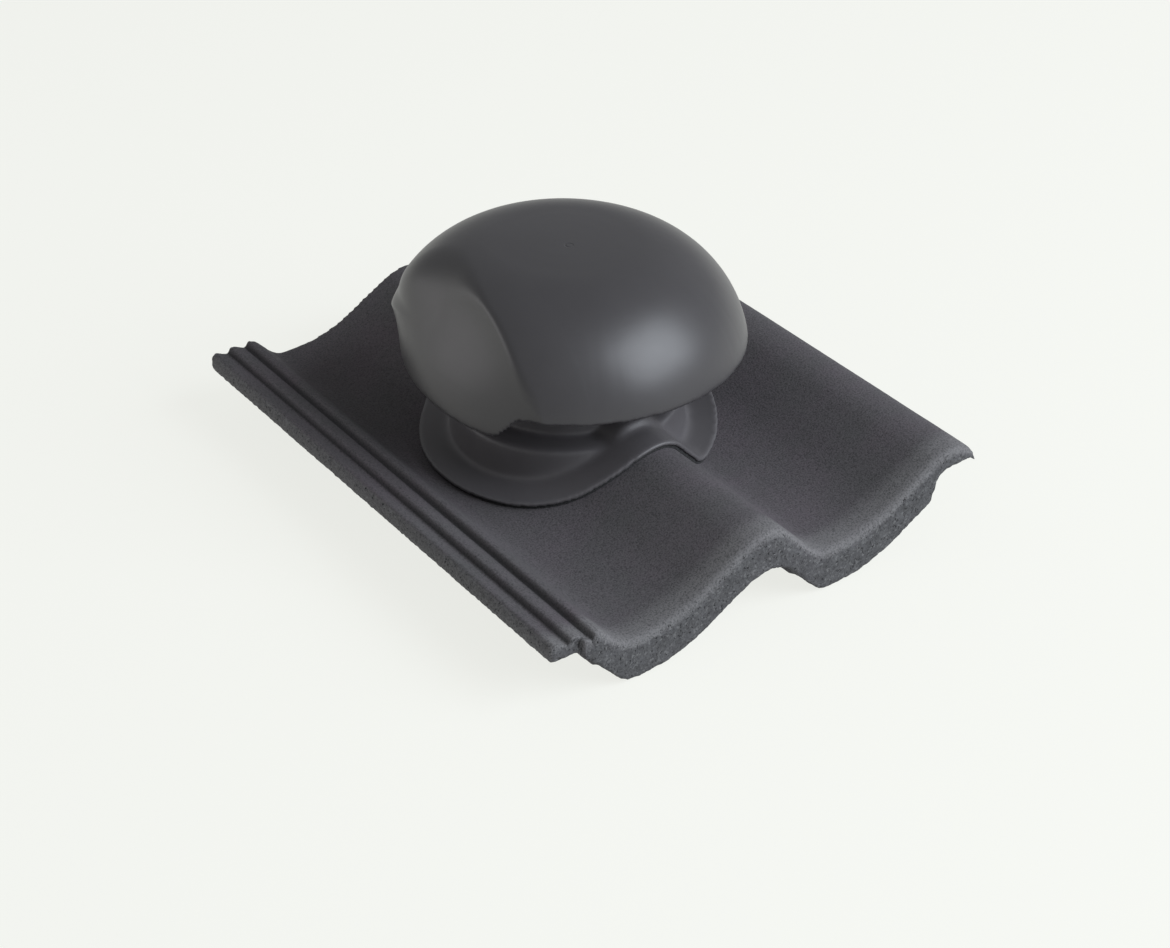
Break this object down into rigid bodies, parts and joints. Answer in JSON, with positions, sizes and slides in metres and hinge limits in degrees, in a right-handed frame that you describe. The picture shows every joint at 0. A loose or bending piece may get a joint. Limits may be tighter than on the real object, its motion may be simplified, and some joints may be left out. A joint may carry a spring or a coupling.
{
  "type": "roof tile vent",
  "caption": "Interlocking wavy concrete roof tile carrying a round moulded vent: flange and neck shaped to the tile, a pipe socket and a flat-topped rain hood with a scooped cheek.",
  "frame": {"origin": "middle of the tile in plan, on the plane that the nose and the hanging nibs rest on", "axes": "+X across the tile from its underlap to its overlap, +Y up the slope, +Z out of the roof"},
  "size_m": [0.33, 0.42, 0.1746],
  "materials": {
    "concrete": "dark grey through-coloured concrete with a sandy, slightly mottled face and raw pitted edges",
    "seal_foam": "black closed-cell foam",
    "base_plastic": "satin anthracite moulding",
    "ring_plastic": "satin dark grey moulding",
    "hood_plastic": "smooth satin anthracite moulding"
  },
  "bodies": {
    "root": {"concrete_tile": "concrete", "flange_seal": "seal_foam", "vent_base": "base_plastic", "retaining_ring": "ring_plastic", "vent_hood": "hood_plastic"}
  },
  "joints": []
}
